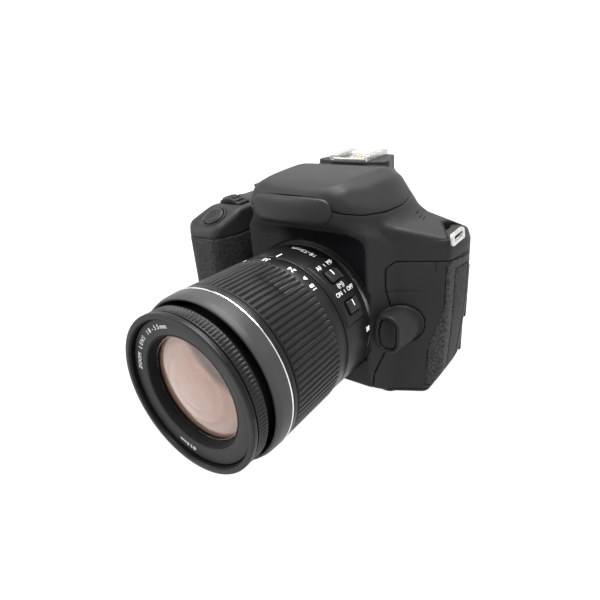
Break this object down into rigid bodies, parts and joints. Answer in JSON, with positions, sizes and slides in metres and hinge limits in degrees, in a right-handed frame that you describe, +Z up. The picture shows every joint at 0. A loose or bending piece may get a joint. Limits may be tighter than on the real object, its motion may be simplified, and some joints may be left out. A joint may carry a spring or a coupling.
{
  "type": "digital single-lens reflex camera",
  "caption": "Compact digital reflex camera with hand grip, viewfinder hump with pop-up flash, hinged monitor and a mounted standard zoom lens.",
  "frame": {"origin": "on the flat underside of the base, directly below the point where the optical axis meets the image plane", "axes": "-Y the way the lens looks, +Z up, +X to the right of someone facing the lens"},
  "size_m": [0.131, 0.1434, 0.1026],
  "materials": {
    "body_plastic": "fine spark-textured charcoal plastic",
    "grip_rubber": "pebbled leather-grain rubber",
    "steel": "satin plated steel",
    "inner_plastic": "light-absorbing black",
    "screen_glass": "ground surface",
    "shutter_metal": "black lacquered blades",
    "sensor_glass": "green-violet filter stack",
    "circuit_board": "solder mask with component relief",
    "battery_case": "moulded shell",
    "mirror_glass": "front-silvered",
    "control_plastic": "satin moulded keys and dials",
    "monitor_plastic": "fine-textured casing",
    "eyecup_rubber": "soft matte rubber",
    "flap_rubber": "leather-grain rubber",
    "lens_plastic": "satin black barrel",
    "lens_rubber": "ribbed grip ring",
    "lens_glass": "coated glass"
  },
  "bodies": {
    "body": {"front_cover": "body_plastic", "left_panel": "body_plastic", "rear_cover": "body_plastic", "top_cover": "body_plastic", "base_cover": "body_plastic", "grip_rubber": "grip_rubber", "side_rubber": "grip_rubber", "tripod_socket": "steel", "mirror_box": "inner_plastic", "focusing_screen": "screen_glass", "pentamirror": "inner_plastic", "shutter_unit": "shutter_metal", "image_sensor": "sensor_glass", "main_board": "circuit_board", "battery": "battery_case", "body_mount_ring": "steel", "hot_shoe": "steel", "eyecup": "eyecup_rubber", "strap_lug_right": "steel", "strap_lug_left": "steel"},
    "lens": {"lens_barrel": "lens_plastic", "rear_lens_group": "lens_plastic"},
    "zoom_ring": {"zoom_ring": "lens_rubber"},
    "inner_barrel": {"inner_barrel": "lens_plastic"},
    "helicoid": {"helicoid": "lens_plastic", "front_element": "lens_glass"},
    "focus_barrel": {"focus_barrel": "lens_plastic"},
    "af_switch": {"af_switch": "control_plastic"},
    "stabilizer_switch": {"stabilizer_switch": "control_plastic"},
    "lens_lock_pin": {"lens_lock_pin": "steel"},
    "lens_release_button": {"lens_release_button": "control_plastic"},
    "preview_button": {"preview_button": "control_plastic"},
    "reflex_mirror": {"reflex_mirror": "mirror_glass"},
    "sub_mirror": {"sub_mirror": "mirror_glass"},
    "shutter_curtain": {"shutter_curtain": "shutter_metal"},
    "flash_head": {"flash_head": "body_plastic"},
    "shutter_button": {"shutter_button": "control_plastic"},
    "main_dial": {"main_dial": "control_plastic"},
    "iso_button": {"iso_button": "control_plastic"},
    "display_button": {"display_button": "control_plastic"},
    "mode_dial": {"mode_dial": "control_plastic"},
    "power_lever": {"power_lever": "control_plastic"},
    "menu_button": {"menu_button": "control_plastic"},
    "info_button": {"info_button": "control_plastic"},
    "live_view_button": {"live_view_button": "control_plastic"},
    "af_on_button": {"af_on_button": "control_plastic"},
    "ae_lock_button": {"ae_lock_button": "control_plastic"},
    "af_point_button": {"af_point_button": "control_plastic"},
    "playback_button": {"playback_button": "control_plastic"},
    "erase_button": {"erase_button": "control_plastic"},
    "control_dial": {"control_dial": "control_plastic"},
    "arrow_pad": {"arrow_pad": "control_plastic"},
    "set_button": {"set_button": "control_plastic"},
    "monitor": {"monitor": "monitor_plastic"},
    "diopter_dial": {"diopter_dial": "control_plastic"},
    "card_door": {"card_door": "body_plastic"},
    "terminal_cover_front": {"terminal_cover_front": "flap_rubber"},
    "terminal_cover_rear": {"terminal_cover_rear": "flap_rubber"},
    "battery_door": {"battery_door": "body_plastic"},
    "battery_latch": {"battery_latch": "control_plastic"}
  },
  "joints": [
    {"name": "lens_twist", "type": "hinge", "parent": "body", "child": "lens", "pos_m": [0, -0.044, 0.0395], "axis": [0, -1, 0], "range_deg": [0, 60]},
    {"name": "zoom_turn", "type": "hinge", "parent": "lens", "child": "zoom_ring", "pos_m": [0, -0.08, 0.0395], "axis": [0, -1, 0], "range_deg": [-38, 38]},
    {"name": "zoom_extend", "type": "slide", "parent": "lens", "child": "inner_barrel", "axis": [0, -1, 0], "range_m": [-0.006, 0.006]},
    {"name": "focus_turn", "type": "hinge", "parent": "helicoid", "child": "focus_barrel", "pos_m": [0, -0.112, 0.0395], "axis": [0, -1, 0], "range_deg": [0, 120]},
    {"name": "focus_extend", "type": "slide", "parent": "inner_barrel", "child": "helicoid", "axis": [0, -1, 0], "range_m": [0, 0.003]},
    {"name": "af_switch_slide", "type": "slide", "parent": "lens", "child": "af_switch", "axis": [0, 1, 0], "range_m": [0, 0.0022]},
    {"name": "stabilizer_switch_slide", "type": "slide", "parent": "lens", "child": "stabilizer_switch", "axis": [0, 1, 0], "range_m": [0, 0.0022]},
    {"name": "lens_release_press", "type": "slide", "parent": "body", "child": "lens_release_button", "axis": [0, 1, 0], "range_m": [0, 0.0018], "stiffness_N_per_m": 400, "springref_m": -0.0008},
    {"name": "lens_lock_pin_slide", "type": "slide", "parent": "body", "child": "lens_lock_pin", "axis": [0, 1, 0], "range_m": [0, 0.0018]},
    {"name": "preview_press", "type": "slide", "parent": "body", "child": "preview_button", "axis": [0, 1, 0], "range_m": [0, 0.0008], "stiffness_N_per_m": 400, "springref_m": -0.0008},
    {"name": "mirror_flip", "type": "hinge", "parent": "body", "child": "reflex_mirror", "pos_m": [0, -0.0098, 0.0514], "axis": [-1, 0, 0], "range_deg": [0, 45], "stiffness_Nm_per_rad": 0.01, "springref_deg": -17.19},
    {"name": "sub_mirror_fold", "type": "hinge", "parent": "reflex_mirror", "child": "sub_mirror", "pos_m": [0, -0.0196, 0.0392], "axis": [-1, 0, 0], "range_deg": [0, 90]},
    {"name": "shutter_travel", "type": "slide", "parent": "body", "child": "shutter_curtain", "axis": [0, 0, -1], "range_m": [0, 0.017]},
    {"name": "flash_raise", "type": "hinge", "parent": "body", "child": "flash_head", "pos_m": [0, -0.0072, 0.0986], "axis": [-1, 0, 0], "range_deg": [0, 60]},
    {"name": "shutter_button_press", "type": "slide", "parent": "body", "child": "shutter_button", "axis": [0, 0.5101, -0.8601], "range_m": [0, 0.0012], "stiffness_N_per_m": 400, "springref_m": -0.0008},
    {"name": "main_dial_turn", "type": "hinge", "parent": "body", "child": "main_dial", "pos_m": [-0.054, -0.028, 0.076], "axis": [0, 1, 0], "continuous": true},
    {"name": "iso_press", "type": "slide", "parent": "body", "child": "iso_button", "axis": [0, 0, -1], "range_m": [0, 0.0006], "stiffness_N_per_m": 400, "springref_m": -0.0008},
    {"name": "display_press", "type": "slide", "parent": "body", "child": "display_button", "axis": [0, 0, -1], "range_m": [0, 0.0006], "stiffness_N_per_m": 400, "springref_m": -0.0008},
    {"name": "mode_dial_turn", "type": "hinge", "parent": "body", "child": "mode_dial", "pos_m": [-0.045, 0.001, 0.087], "axis": [0, 0, 1], "continuous": true},
    {"name": "power_lever_turn", "type": "hinge", "parent": "body", "child": "power_lever", "pos_m": [-0.045, 0.001, 0.0835], "axis": [0, 0, 1], "range_deg": [0, 40]},
    {"name": "menu_press", "type": "slide", "parent": "body", "child": "menu_button", "axis": [0, -1, 0], "range_m": [0, 0.0006], "stiffness_N_per_m": 400, "springref_m": -0.0008},
    {"name": "info_press", "type": "slide", "parent": "body", "child": "info_button", "axis": [0, -1, 0], "range_m": [0, 0.0006], "stiffness_N_per_m": 400, "springref_m": -0.0008},
    {"name": "live_view_press", "type": "slide", "parent": "body", "child": "live_view_button", "axis": [0, -1, 0], "range_m": [0, 0.0006], "stiffness_N_per_m": 400, "springref_m": -0.0008},
    {"name": "af_on_press", "type": "slide", "parent": "body", "child": "af_on_button", "axis": [0, -1, 0], "range_m": [0, 0.0006], "stiffness_N_per_m": 400, "springref_m": -0.0008},
    {"name": "ae_lock_press", "type": "slide", "parent": "body", "child": "ae_lock_button", "axis": [0, -1, 0], "range_m": [0, 0.0006], "stiffness_N_per_m": 400, "springref_m": -0.0008},
    {"name": "af_point_press", "type": "slide", "parent": "body", "child": "af_point_button", "axis": [0, -1, 0], "range_m": [0, 0.0006], "stiffness_N_per_m": 400, "springref_m": -0.0008},
    {"name": "playback_press", "type": "slide", "parent": "body", "child": "playback_button", "axis": [0, -1, 0], "range_m": [0, 0.0006], "stiffness_N_per_m": 400, "springref_m": -0.0008},
    {"name": "erase_press", "type": "slide", "parent": "body", "child": "erase_button", "axis": [0, -1, 0], "range_m": [0, 0.0006], "stiffness_N_per_m": 400, "springref_m": -0.0008},
    {"name": "control_dial_turn", "type": "hinge", "parent": "body", "child": "control_dial", "pos_m": [-0.05, 0.016, 0.0385], "axis": [0, 1, 0], "continuous": true},
    {"name": "arrow_pad_press", "type": "slide", "parent": "body", "child": "arrow_pad", "axis": [0, -1, 0], "range_m": [0, 0.0005], "stiffness_N_per_m": 400, "springref_m": -0.0008},
    {"name": "set_press", "type": "slide", "parent": "body", "child": "set_button", "axis": [0, -1, 0], "range_m": [0, 0.0006], "stiffness_N_per_m": 400, "springref_m": -0.0008},
    {"name": "monitor_open", "type": "hinge", "parent": "body", "child": "monitor", "pos_m": [0.0508, 0.0164, 0.036], "axis": [0, 0, -1], "range_deg": [0, 175]},
    {"name": "diopter_turn", "type": "hinge", "parent": "body", "child": "diopter_dial", "pos_m": [-0.0219, 0.0146, 0.084], "axis": [1, 0, 0], "range_deg": [-60, 60]},
    {"name": "card_door_open", "type": "hinge", "parent": "body", "child": "card_door", "pos_m": [-0.0676, 0.011, 0.038], "axis": [0, 0, -1], "range_deg": [0, 90]},
    {"name": "terminal_cover_front_open", "type": "hinge", "parent": "body", "child": "terminal_cover_front", "pos_m": [0.0578, -0.0165, 0.035], "axis": [0, 0, -1], "range_deg": [0, 90]},
    {"name": "terminal_cover_rear_open", "type": "hinge", "parent": "body", "child": "terminal_cover_rear", "pos_m": [0.057, 0.0076, 0.035], "axis": [0, 0, 1], "range_deg": [0, 90]},
    {"name": "battery_door_open", "type": "hinge", "parent": "body", "child": "battery_door", "pos_m": [-0.048, -0.023, 0.0003], "axis": [0, -1, 0], "range_deg": [0, 90]},
    {"name": "battery_latch_slide", "type": "slide", "parent": "battery_door", "child": "battery_latch", "axis": [1, 0, 0], "range_m": [0, 0.0024]}
  ],
  "couplings": [
    {"joint": "zoom_extend", "follows": "zoom_turn", "m_per_rad": 0.009047},
    {"joint": "focus_extend", "follows": "focus_turn", "m_per_rad": 0.001432},
    {"joint": "lens_lock_pin_slide", "follows": "lens_release_press", "ratio": 1},
    {"joint": "sub_mirror_fold", "follows": "mirror_flip", "ratio": 2}
  ]
}
